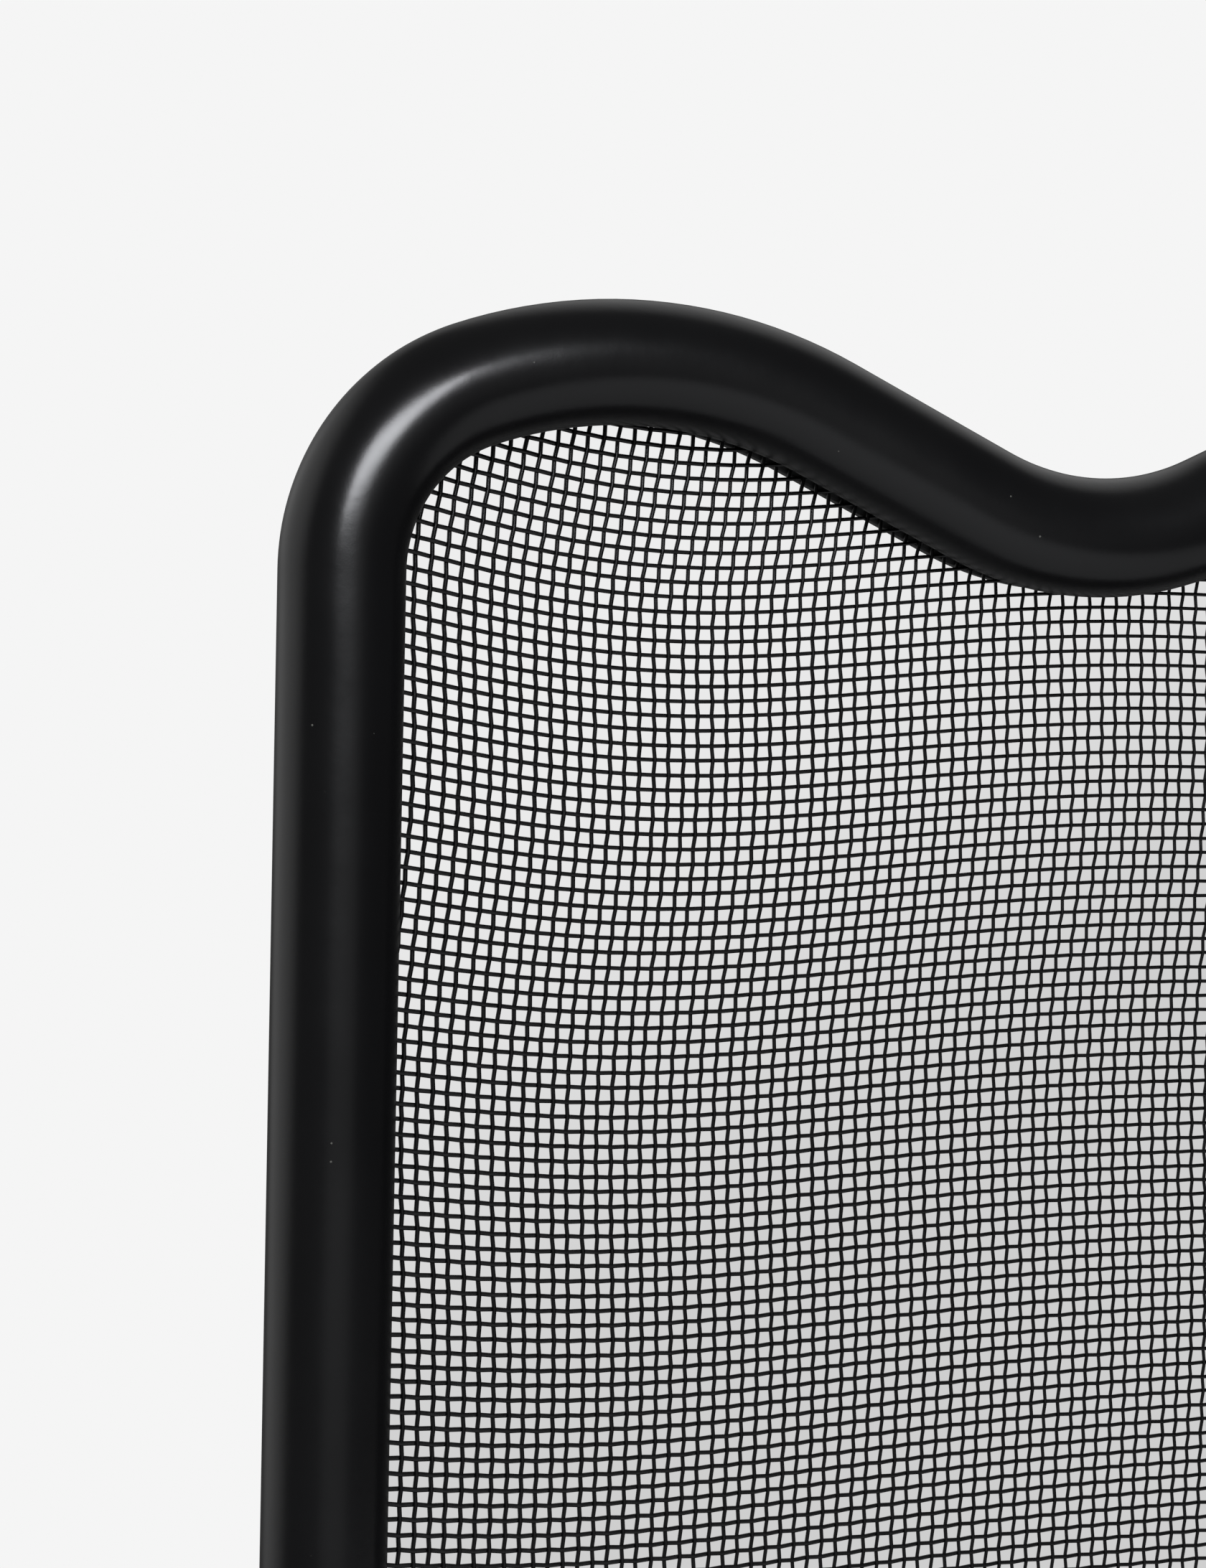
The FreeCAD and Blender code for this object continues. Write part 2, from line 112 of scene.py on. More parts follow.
# ---- settings that a user would change ----
class BendSettings(bpy.types.PropertyGroup):
    """Bends of the frame, on the tube's centreline"""

    humps: bpy.props.IntProperty(name="Humps", description="Humps along the wavy top", default=5, min=2)
    corner_radius: bpy.props.FloatProperty(
        name="Corner radius", description="Tight bend between an upright and the first hump",
        default=0.040, unit="LENGTH",
    )
    corner_turn: bpy.props.FloatProperty(
        name="Corner turn", description="How far the tight bend turns",
        default=math.radians(70), subtype="ANGLE",
    )
    hump_radius: bpy.props.FloatProperty(
        name="Hump radius", description="Bend over the top of each hump", default=0.100, unit="LENGTH"
    )
    valley_radius: bpy.props.FloatProperty(
        name="Valley radius", description="Bend at the bottom of each valley",
        default=0.065, unit="LENGTH",
    )
    slope: bpy.props.FloatProperty(
        name="Slope", description="Fall of the runs between humps and valleys",
        default=math.radians(25), subtype="ANGLE",
    )
    base_corner_radius: bpy.props.FloatProperty(
        name="Base corner radius", description="Bend at each lower corner", default=0.055, unit="LENGTH"
    )
    strip_round: bpy.props.FloatProperty(
        name="Strip edge round", description="Rounding of the strips' long edges",
        default=0.0005, unit="LENGTH",
    )
    end_chamfer: bpy.props.FloatProperty(
        name="Tube end chamfer", description="Chamfer where two frame tubes butt together",
        default=0.0003, unit="LENGTH",
    )
    tube_sides: bpy.props.IntProperty(
        name="Tube sides", description="Faces round a tube", default=72, min=12
    )
    bend_step: bpy.props.FloatProperty(
        name="Bend step", description="Turn between two rings of a bend",
        default=math.radians(2), subtype="ANGLE",
    )


class ClothSettings(bpy.types.PropertyGroup):
    """Weave of the wire cloth and how it lies in the frame"""

    pitch_across: bpy.props.FloatProperty(
        name="Pitch across", description="From one upright wire to the next",
        default=0.00326, unit="LENGTH",
    )
    pitch_up: bpy.props.FloatProperty(
        name="Pitch up", description="From one cross wire to the next", default=0.00315, unit="LENGTH"
    )
    lean: bpy.props.FloatProperty(
        name="Lean", description="Lean of the upright wires far below the top",
        default=math.radians(-0.8), subtype="ANGLE",
    )
    pull: bpy.props.FloatProperty(
        name="Pull", description="How far the top pulls the upright wires sideways",
        default=0.0080, unit="LENGTH",
    )
    pull_fade: bpy.props.FloatProperty(
        name="Pull fade", description="Depth in which the pull fades", default=0.0605, unit="LENGTH"
    )
    sway: bpy.props.FloatProperty(
        name="Sway", description="Sideways waviness of the upright wires at the top",
        default=0.0026, unit="LENGTH",
    )
    sway_fade: bpy.props.FloatProperty(
        name="Sway fade", description="Depth in which the sway fades", default=0.1075, unit="LENGTH"
    )
    sway_wave: bpy.props.FloatProperty(
        name="Sway wavelength", description="Height of one wave of the sway",
        default=0.118, unit="LENGTH",
    )
    sway_phase: bpy.props.FloatProperty(
        name="Sway phase", description="Phase of the sway where the corner bends start",
        default=4.17, subtype="ANGLE",
    )
    tilt: bpy.props.FloatProperty(
        name="Tilt", description="Rise of the cross wires along the screen",
        default=math.radians(0.6), subtype="ANGLE",
    )
    droop: bpy.props.FloatProperty(
        name="Droop", description="How far the cross wires are drawn out of line beside the uprights",
        default=0.0081, unit="LENGTH",
    )
    droop_wave: bpy.props.FloatProperty(
        name="Droop wavelength", description="Length of that wave along the screen",
        default=0.210, unit="LENGTH",
    )
    droop_phase: bpy.props.FloatProperty(
        name="Droop phase", description="Phase of that wave at the upright",
        default=0.604, subtype="ANGLE",
    )
    droop_reach: bpy.props.FloatProperty(
        name="Droop reach", description="Distance in which it fades along the screen",
        default=0.116, unit="LENGTH",
    )
    droop_fade: bpy.props.FloatProperty(
        name="Droop fade", description="Depth in which the droop fades", default=0.240, unit="LENGTH"
    )
    straight_above: bpy.props.FloatProperty(
        name="Straight above",
        description="Height over the corner bends' start where the lean stops growing",
        default=0.012, unit="LENGTH",
    )
    enamel: bpy.props.FloatProperty(
        name="Enamel", description="Thickness of the enamel on a wire beside the uprights",
        default=0.00013, unit="LENGTH",
    )
    enamel_reach: bpy.props.FloatProperty(
        name="Enamel reach", description="Distance in which it thins along the screen",
        default=0.120, unit="LENGTH",
    )
    spacing_error: bpy.props.FloatProperty(
        name="Spacing error", description="Uneven spacing of single wires",
        default=0.00004, unit="LENGTH",
    )
    wires_per_piece: bpy.props.IntProperty(
        name="Wires per piece", description="Wires that are joined into one mesh", default=50, min=1
    )


class FinishSettings(bpy.types.PropertyGroup):
    """Colours and gloss of the finishes"""

    coat_colour: bpy.props.FloatVectorProperty(
        name="Powder coat", description="Colour of the satin powder coat",
        default=(0.0028, 0.0028, 0.0031), subtype="COLOR",
    )
    coat_roughness: bpy.props.FloatProperty(
        name="Coat roughness", description="Roughness of the powder coat",
        default=0.235, min=0.0, max=1.0,
    )
    wire_colour: bpy.props.FloatVectorProperty(
        name="Wire enamel", description="Colour of the wire cloth's enamel",
        default=(0.0030, 0.0030, 0.0032), subtype="COLOR",
    )
    wire_roughness: bpy.props.FloatProperty(
        name="Wire roughness", description="Roughness of the wire cloth's enamel",
        default=0.22, min=0.0, max=1.0,
    )
    dust_colour: bpy.props.FloatVectorProperty(
        name="Dust", description="Colour of settled dust", default=(0.10, 0.10, 0.09), subtype="COLOR"
    )


class StudioSettings(bpy.types.PropertyGroup):
    """Camera, lamp and surroundings"""

    camera_place: bpy.props.FloatVectorProperty(
        name="Camera place", description="Where the camera stands",
        default=(-0.6642, -0.6580, 0.7087), subtype="XYZ_LENGTH",
    )
    camera_yaw: bpy.props.FloatProperty(
        name="Yaw", description="Turn to the right of straight ahead",
        default=math.radians(19.85), subtype="ANGLE",
    )
    camera_pitch: bpy.props.FloatProperty(
        name="Pitch", description="Tilt above the horizon", default=math.radians(-2.2), subtype="ANGLE"
    )
    camera_roll: bpy.props.FloatProperty(
        name="Roll", description="Turn of the view to the left",
        default=math.radians(1.24), subtype="ANGLE",
    )
    lens: bpy.props.FloatProperty(
        name="Lens", description="Focal length on a 36 mm long side",
        default=79.14, subtype="DISTANCE_CAMERA",
    )
    key_power: bpy.props.FloatProperty(
        name="Key", description="Power of the key softbox", default=23.0, unit="POWER"
    )
    ambient: bpy.props.FloatProperty(
        name="Ambient", description="Brightness of the room as a light", default=0.40, min=0.0, max=2.0
    )
    room: bpy.props.FloatProperty(
        name="Room", description="Brightness of the room in reflections",
        default=0.085, min=0.0, max=1.0,
    )
    backdrop_grey: bpy.props.FloatProperty(
        name="Backdrop", description="Brightness of the backdrop and the floor",
        default=0.913, min=0.0, max=1.0,
    )
    shade_light: bpy.props.FloatProperty(
        name="Shade, light end", description="Brightness of the shaded backdrop under the hoop",
        default=0.85, min=0.0, max=1.0,
    )
    shade_dark: bpy.props.FloatProperty(
        name="Shade, dark end", description="Brightness of the shaded backdrop lower down",
        default=0.62, min=0.0, max=1.0,
    )
    floor_grey: bpy.props.FloatProperty(
        name="Floor", description="Colour of the floor as it is lit", default=0.50, min=0.0, max=1.0
    )
    floor_light: bpy.props.FloatProperty(
        name="Lit floor", description="Brightness that the lamp and the room give the floor",
        default=0.56, min=0.0, max=1.0,
    )
    floor_radius: bpy.props.FloatProperty(
        name="Floor radius", description="Radius at which the floor has faded away",
        default=1.75, unit="LENGTH",
    )


# ---- what the finish reflects: azimuth (0 the room, positive towards +X), elevation, spreads, gain ----
REFLECTED_WALLS = {
    "white wall on the left": (-124, 12, 12, 48, 0.58),
    "white wall behind, high on the right": (136, 42, 6, 34, 0.40),
    "white wall straight behind": (-172, 25, 10, 30, 0.16),
    "pale table in front": (0, -8, 5, 32, 0.14),
    "dark room on the right": (75, 5, 20, 65, -0.05),
}


# ---- centreline of the frame: straight runs and tangent bends, clockwise bends positive ----
def peak_offset(bends):
    """From the upright's centreline to the first peak."""
    turn = bends.corner_turn
    return bends.corner_radius * (1 - math.cos(turn)) + bends.hump_radius * math.cos(turn)


def corner_rise(bends):
    """From the start of the corner bend up to the first peak."""
    turn = bends.corner_turn
    return bends.corner_radius * math.sin(turn) + bends.hump_radius * (1 - math.sin(turn))


def half_wave(bends):
    return (UPRIGHT_X - peak_offset(bends)) / (bends.humps - 1)


def slope_run(bends):
    """Length of the straight between a hump and a valley."""
    bent = (bends.hump_radius + bends.valley_radius) * math.sin(bends.slope)
    return (half_wave(bends) - bent) / math.cos(bends.slope)


def wave_depth(bends):
    """From the peaks down to the valleys."""
    bent = (bends.hump_radius + bends.valley_radius) * (1 - math.cos(bends.slope))
    return bent + slope_run(bends) * math.sin(bends.slope)


def wave_steps(bends):
    """The top from the left corner bend to the right one."""
    turn, slope, run = bends.corner_turn, bends.slope, slope_run(bends)
    end_hump_turn = math.pi / 2 - turn + slope
    steps = [("bend", bends.corner_radius, turn), ("bend", bends.hump_radius, end_hump_turn)]
    for hump in range(1, bends.humps):
        last = hump == bends.humps - 1
        steps += [
            ("run", run),
            ("bend", bends.valley_radius, -2 * slope),
            ("run", run),
            ("bend", bends.hump_radius, end_hump_turn if last else 2 * slope),
        ]
    return steps + [("bend", bends.corner_radius, turn)]


def hoop_path(bends, low_z):
    """Start, heading and steps from low_z on the left upright over the top to low_z on the right one."""
    leg = ("run", TOP_AXIS_Z - corner_rise(bends) - low_z)
    return Vector((-UPRIGHT_X, 0, low_z)), Vector((0, 0, 1)), [leg] + wave_steps(bends) + [leg]


def base_path(bends, high_z):
    """Start, heading and steps from high_z on the right upright round the base to the left one."""
    radius = bends.base_corner_radius
    leg = ("run", high_z - BASE_AXIS_Z - radius)
    corner = ("bend", radius, math.pi / 2)
    steps = [leg, corner, ("run", 2 * (UPRIGHT_X - radius)), corner, leg]
    return Vector((UPRIGHT_X, 0, high_z)), Vector((0, 0, -1)), steps


# ---- mesh helpers ----
def add_piece(name, mesh, material, replaced=()):
    """Links a finished mesh as a piece of the screen."""
    piece = bpy.data.objects.new(name, mesh)
    bpy.context.scene.collection.objects.link(piece)
    mesh.materials.clear()
    mesh.materials.append(material)
    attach(piece, BODY)
    if replaced:
        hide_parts(*replaced)
    return piece


def ring_circle(bm, radius, sides):
    """A ring of edges round Z, for the start of a tube."""
    made = bmesh.ops.create_circle(bm, cap_ends=False, radius=radius, segments=sides)
    verts = made["verts"]
    return verts, list({edge for vert in verts for edge in vert.link_edges})


def ring_flat(bm, width, thickness, edge_round):
    """A rounded rectangle in the XY plane, width along X, for the start of a strip."""
    half = Vector((width / 2, thickness / 2, 0))
    signs = ((-1, -1), (1, -1), (1, 1), (-1, 1))
    corners = [bm.verts.new((sx * half.x, sy * half.y, 0)) for sx, sy in signs]
    edges = [bm.edges.new((corners[i - 1], corners[i])) for i in range(len(corners))]
    bmesh.ops.bevel(
        bm, geom=corners + edges, offset=edge_round, offset_type="OFFSET", affect="VERTICES",
        segments=STRIP_EDGE_SEGMENTS, profile=0.5, material=-1,
    )
    return list(bm.verts), list(bm.edges)


def sweep(bm, ring, path, bend_step):
    """Sweeps a ring, made round Z at the origin, along a path in the XZ plane. Returns its last ring."""
    verts, edges = ring
    place, heading, steps = path
    turn = Matrix.Rotation(math.pi if heading.z < 0 else 0.0, 4, "Y")
    bmesh.ops.transform(bm, matrix=Matrix.Translation(place) @ turn, verts=verts)
    heading = heading.copy()
    place = place.copy()
    for kind, size, *bend in steps:
        if kind == "run":
            made = bmesh.ops.extrude_edge_only(bm, edges=edges)["geom"]
            verts = [item for item in made if isinstance(item, bmesh.types.BMVert)]
            edges = [item for item in made if isinstance(item, bmesh.types.BMEdge) and both_in(item, verts)]
            bmesh.ops.translate(bm, vec=heading * size, verts=verts)
            place += heading * size
            continue
        angle = bend[0]
        right = Vector((heading.z, 0, -heading.x))
        centre = place + right * size * math.copysign(1, angle)
        made = bmesh.ops.spin(
            bm, geom=verts + edges, cent=centre, axis=(0, 1, 0), dvec=(0, 0, 0), angle=angle,
            steps=max(2, math.ceil(abs(angle) / bend_step)), use_duplicate=False,
        )["geom_last"]
        verts = [item for item in made if isinstance(item, bmesh.types.BMVert)]
        edges = [item for item in made if isinstance(item, bmesh.types.BMEdge)]
        rotation = Matrix.Rotation(angle, 3, "Y")
        place = centre + rotation @ (place - centre)
        heading = rotation @ heading
    return verts, edges


def both_in(edge, verts):
    """Whether both ends of an edge are among the vertices."""
    return edge.verts[0] in verts and edge.verts[1] in verts


def finished_mesh(bm, name):
    """Closes the open ends, turns every face outwards and shades the sides smooth."""
    bmesh.ops.remove_doubles(bm, verts=bm.verts, dist=MERGE_DISTANCE)
    bmesh.ops.holes_fill(bm, edges=[edge for edge in bm.edges if edge.is_boundary], sides=0)
    bmesh.ops.recalc_face_normals(bm, faces=bm.faces)
    for face in bm.faces:
        face.smooth = True
    for edge in bm.edges:
        edge.smooth = edge.calc_face_angle(0.0) < SHARP_ANGLE
    mesh = bpy.data.meshes.new(name)
    bm.to_mesh(mesh)
    bm.free()
    return mesh


def tube_mesh(name, path, bends):
    """A round tube along a path, chamfered and closed at both ends."""
    bm = bmesh.new()
    ring = ring_circle(bm, TUBE_RADIUS, bends.tube_sides)
    sweep(bm, ring, path, bends.bend_step)
    bmesh.ops.holes_fill(bm, edges=[edge for edge in bm.edges if edge.is_boundary], sides=0)
    ends = [face for face in bm.faces if len(face.verts) == bends.tube_sides]
    rims = [edge for face in ends for edge in face.edges]
    bmesh.ops.bevel(
        bm, geom=rims, offset=bends.end_chamfer, offset_type="OFFSET", affect="EDGES",
        segments=1, profile=0.5, material=-1,
    )
    return finished_mesh(bm, name)


def strip_mesh(name, path, bends):
    """A flat strip along a path, behind the wire cloth."""
    bm = bmesh.new()
    ring = ring_flat(bm, STRIP_WIDTH, STRIP_THICKNESS, bends.strip_round)
    bmesh.ops.translate(bm, vec=(STRIP_INSET, 0, 0), verts=ring[0])
    sweep(bm, ring, path, bends.bend_step)
    bmesh.ops.translate(bm, vec=(0, (STRIP_LOW.y + STRIP_HIGH.y) / 2, 0), verts=bm.verts)
    return finished_mesh(bm, name)


# ---- shader helpers ----
def add_node(tree, kind, inputs=(), **settings):
    """A node of that kind, with its settings and its input values or links."""
    made = tree.nodes.new(kind)
    for key, value in settings.items():
        setattr(made, key, value)
    for key, value in dict(inputs).items():
        if isinstance(value, bpy.types.NodeSocket):
            tree.links.new(value, made.inputs[key])
        else:
            made.inputs[key].default_value = value
    return made


def maths(tree, operation, *values):
    """Output of a math node on numbers or links."""
    return add_node(tree, "ShaderNodeMath", dict(enumerate(values)), operation=operation).outputs[0]


def new_group(name, inputs, outputs):
    """A shader node group with named sockets, its input node's outputs and its output node's inputs."""
    group = bpy.data.node_groups.new(name, "ShaderNodeTree")
    for socket, kind, default in inputs:
        item = group.interface.new_socket(name=socket, in_out="INPUT", socket_type=kind)
        if default is not None:
            item.default_value = default
    for socket, kind in outputs:
        group.interface.new_socket(name=socket, in_out="OUTPUT", socket_type=kind)
    source = group.nodes.new("NodeGroupInput")
    sink = group.nodes.new("NodeGroupOutput")
    return group, source.outputs, sink.inputs


def place_group(tree, group, **inputs):
    """The group as a node of a material. Spaces in its sockets' names are underscores here."""
    made = tree.nodes.new("ShaderNodeGroup")
    made.node_tree = group
    for key, value in inputs.items():
        socket = made.inputs[key.replace("_", " ")]
        if isinstance(value, bpy.types.NodeSocket):
            tree.links.new(value, socket)
        else:
            socket.default_value = value
    return made


def build_sprayed_skin():
    """Skin of a sprayed and baked coat: soft orange peel, and a fine grain on it."""
    group, source, sink = new_group(
        "sprayed_skin",
        [
            ("Vector", "NodeSocketVector", None),
            ("Peel Scale", "NodeSocketFloat", 300.0),
            ("Peel Depth", "NodeSocketFloat", 0.00002),
            ("Grain Scale", "NodeSocketFloat", 2500.0),
            ("Grain Depth", "NodeSocketFloat", 0.000004),
        ],
        [("Normal", "NodeSocketVector")],
    )
    normal = None
    for layer, detail in (("Peel", 1.0), ("Grain", 2.0)):
        noise = add_node(
            group, "ShaderNodeTexNoise",
            {"Vector": source["Vector"], "Scale": source[layer + " Scale"], "Detail": detail},
        )
        bump = {"Height": noise.outputs["Fac"], "Distance": source[layer + " Depth"], "Strength": 1.0}
        if normal is not None:
            bump["Normal"] = normal
        normal = add_node(group, "ShaderNodeBump", bump).outputs["Normal"]
    group.links.new(normal, sink["Normal"])
    return group


def build_cloudiness():
    """A slow, uneven value between Low and High."""
    group, source, sink = new_group(
        "cloudiness",
        [
            ("Vector", "NodeSocketVector", None),
            ("Scale", "NodeSocketFloat", 20.0),
            ("Low", "NodeSocketFloat", 0.3),
            ("High", "NodeSocketFloat", 0.4),
        ],
        [("Value", "NodeSocketFloat")],
    )
    noise = add_node(
        group, "ShaderNodeTexNoise", {"Vector": source["Vector"], "Scale": source["Scale"], "Detail": 4.0}
    )
    spread = {"From Min": 0.3, "From Max": 0.7, "To Min": source["Low"], "To Max": source["High"]}
    level = add_node(group, "ShaderNodeMapRange", {"Value": noise.outputs["Fac"], **spread})
    group.links.new(level.outputs["Result"], sink["Value"])
    return group


def build_dust_specks():
    """Mask of a few tiny specks of settled dust."""
    group, source, sink = new_group(
        "dust_specks",
        [
            ("Vector", "NodeSocketVector", None),
            ("Cell Scale", "NodeSocketFloat", 450.0),
            ("Share", "NodeSocketFloat", 0.05),
            ("Size", "NodeSocketFloat", 0.10),
        ],
        [("Mask", "NodeSocketFloat")],
    )
    cells = add_node(
        group, "ShaderNodeTexVoronoi", {"Vector": source["Vector"], "Scale": source["Cell Scale"]}
    )
    chance = add_node(group, "ShaderNodeSeparateColor", {"Color": cells.outputs["Color"]})
    chosen = maths(group, "LESS_THAN", chance.outputs["Red"], source["Share"])
    size = maths(group, "MULTIPLY", chance.outputs["Green"], source["Size"])
    near = maths(group, "LESS_THAN", cells.outputs["Distance"], size)
    group.links.new(maths(group, "MULTIPLY", chosen, near), sink["Mask"])
    return group


def shared_group(name):
    """One of the shared effects, built when it is first asked for."""
    makers = {
        "sprayed_skin": build_sprayed_skin,
        "cloudiness": build_cloudiness,
        "dust_specks": build_dust_specks,
    }
    return bpy.data.node_groups.get(name) or makers[name]()


def new_material(name, roughness, metallic=0.0, ior=1.5):
    """A material with a Principled shader, its tree, its shader and its object coordinates."""
    material = bpy.data.materials.new(name)
    material.use_nodes = True
    tree = material.node_tree
    shader = tree.nodes["Principled BSDF"]
    shader.inputs["Roughness"].default_value = roughness
    shader.inputs["Metallic"].default_value = metallic
    shader.inputs["IOR"].default_value = ior
    place = add_node(tree, "ShaderNodeTexCoord").outputs["Object"]
    return material, tree, shader, place


def colour_between(tree, factor, first, second):
    """Mixes two colours, or links, by a factor."""
    made = tree.nodes.new("ShaderNodeMix")
    made.data_type = "RGBA"
    tree.links.new(factor, made.inputs["Factor"])
    for socket, value in ((made.inputs[6], first), (made.inputs[7], second)):
        if isinstance(value, bpy.types.NodeSocket):
            tree.links.new(value, socket)
        else:
            socket.default_value = (*value[:3], 1.0)
    return made.outputs[2]


def lighter(colour, factor):
    return tuple(min(1.0, channel * factor) for channel in colour[:3])


def uneven_colour(tree, place, scale, first, second):
    """A colour that drifts between two."""
    cloud = place_group(tree, shared_group("cloudiness"), Vector=place, Scale=scale, Low=0.0, High=1.0)
    return colour_between(tree, cloud.outputs["Value"], first, second)


def uneven_gloss(tree, shader, place, scale, low, high):
    """Lets the roughness drift between two values."""
    gloss = place_group(tree, shared_group("cloudiness"), Vector=place, Scale=scale, Low=low, High=high)
    tree.links.new(gloss.outputs["Value"], shader.inputs["Roughness"])


def textured_skin(tree, shader, place, **layers):
    """Roughens the surface with peel and grain."""
    skin = place_group(tree, shared_group("sprayed_skin"), Vector=place, **layers)
    tree.links.new(skin.outputs["Normal"], shader.inputs["Normal"])


def satin_powder_coat(finish):
    """Satin black powder coat: soft peel, slightly uneven gloss, a few specks of dust."""
    material, tree, shader, place = new_material("satin_powder_coat", finish.coat_roughness)
    coat = uneven_colour(tree, place, 14.0, finish.coat_colour, lighter(finish.coat_colour, 1.35))
    specks = place_group(
        tree, shared_group("dust_specks"), Vector=place, Cell_Scale=420.0, Share=0.06, Size=0.10
    )
    colour = colour_between(tree, specks.outputs["Mask"], coat, finish.dust_colour)
    tree.links.new(colour, shader.inputs["Base Color"])
    uneven_gloss(
        tree, shader, place, scale=55.0,
        low=finish.coat_roughness - 0.03, high=finish.coat_roughness + 0.03,
    )
    textured_skin(
        tree, shader, place, Peel_Scale=420.0, Peel_Depth=0.000014,
        Grain_Scale=2800.0, Grain_Depth=0.0000065,
    )
    return material


def strip_powder_coat(finish):
    """The same coat on flat strip, a little thicker and glossier."""
    material, tree, shader, place = new_material("strip_powder_coat", finish.coat_roughness)
    coat = uneven_colour(tree, place, 30.0, finish.coat_colour, lighter(finish.coat_colour, 1.5))
    tree.links.new(coat, shader.inputs["Base Color"])
    uneven_gloss(
        tree, shader, place, scale=80.0,
        low=finish.coat_roughness - 0.06, high=finish.coat_roughness,
    )
    textured_skin(
        tree, shader, place, Peel_Scale=350.0, Peel_Depth=0.00002,
        Grain_Scale=2200.0, Grain_Depth=0.000004,
    )
    return material


def wire_enamel(finish):
    """Glossy black enamel on drawn wire, with runs and thin places."""
    material, tree, shader, place = new_material("wire_enamel", finish.wire_roughness)
    coat = uneven_colour(tree, place, 160.0, finish.wire_colour, lighter(finish.wire_colour, 1.6))
    tree.links.new(coat, shader.inputs["Base Color"])
    uneven_gloss(
        tree, shader, place, scale=500.0,
        low=finish.wire_roughness - 0.05, high=finish.wire_roughness + 0.06,
    )
    return material


def black_zinc(finish):
    """Black zinc plating on screws and bolts, worn a little in random patches."""
    material, tree, shader, place = new_material("black_zinc", 0.38, metallic=0.6)
    colour = uneven_colour(tree, place, 700.0, (0.018, 0.019, 0.021), (0.045, 0.045, 0.047))
    tree.links.new(colour, shader.inputs["Base Color"])
    uneven_gloss(tree, shader, place, scale=1500.0, low=0.30, high=0.46)
    return material


def drawn_steel(finish):
    """Bare drawn steel, with fine scratches along its length."""
    material, tree, shader, place = new_material("drawn_steel", 0.34, metallic=1.0)
    stretched = add_node(tree, "ShaderNodeMapping", {"Vector": place, "Scale": (1.0, 1.0, 0.04)})
    along = stretched.outputs["Vector"]
    colour = uneven_colour(tree, along, 3000.0, (0.40, 0.40, 0.41), (0.52, 0.52, 0.53))
    tree.links.new(colour, shader.inputs["Base Color"])
    uneven_gloss(tree, shader, along, scale=2200.0, low=0.26, high=0.42)
    return material


def moulded_plastic(finish):
    """Black moulded plastic with a fine spark-eroded grain."""
    material, tree, shader, place = new_material("moulded_plastic", 0.52, ior=1.46)
    colour = uneven_colour(tree, place, 60.0, (0.014, 0.014, 0.014), (0.020, 0.020, 0.020))
    tree.links.new(colour, shader.inputs["Base Color"])
    textured_skin(
        tree, shader, place, Peel_Scale=1500.0, Peel_Depth=0.00002,
        Grain_Scale=5000.0, Grain_Depth=0.00001,
    )
    return material


def matt_rubber(finish):
    """Matt black rubber, a little dusty in random patches."""
    material, tree, shader, place = new_material("matt_rubber", 0.82, ior=1.48)
    colour = uneven_colour(tree, place, 220.0, (0.020, 0.020, 0.020), (0.034, 0.033, 0.032))
    tree.links.new(colour, shader.inputs["Base Color"])
    textured_skin(
        tree, shader, place, Peel_Scale=900.0, Peel_Depth=0.00003,
        Grain_Scale=4000.0, Grain_Depth=0.000015,
    )
    return material


FINISHES = {
    "frame_powder_coat": satin_powder_coat,
    "strip_powder_coat": strip_powder_coat,
    "wire_cloth_black": wire_enamel,
    "screw_black": black_zinc,
    "bolt_black": black_zinc,
    "bare_steel": drawn_steel,
    "cap_plastic": moulded_plastic,
    "pad_rubber": matt_rubber,
}


def finish_for(slot):
    """The material of one of the record's slots, built when it is first asked for."""
    maker = FINISHES[slot]
    return bpy.data.materials.get(maker.__name__) or maker(bpy.context.scene.screen_finish)


def finish_nodes(prefix):
    """Gives its finish to every packed part whose name starts with prefix."""
    slots = {entry["node"]: entry["material_slot"] for entry in frame["record"]["subparts"]}
    for name, piece in frame["nodes"].items():
        if name.startswith(prefix):
            piece.data.materials.clear()
            piece.data.materials.append(finish_for(slots[name]))


# ---- the wire cloth ----
def sideways_pull(cloth, above):
    """How far an upright wire stands out of line at a height over the bends' start, and its slope."""
    turn = 2 * math.pi / cloth.sway_wave
    pull = cloth.pull * np.exp(above / cloth.pull_fade)
    sway = cloth.sway * np.exp(above / cloth.sway_fade)
    wave, swing = (shape(turn * above + cloth.sway_phase) for shape in (np.sin, np.cos))
    sideways = math.tan(cloth.lean) * above + pull + sway * wave
    slope = math.tan(cloth.lean) + pull / cloth.pull_fade + sway * (wave / cloth.sway_fade + turn * swing)
    return sideways, slope


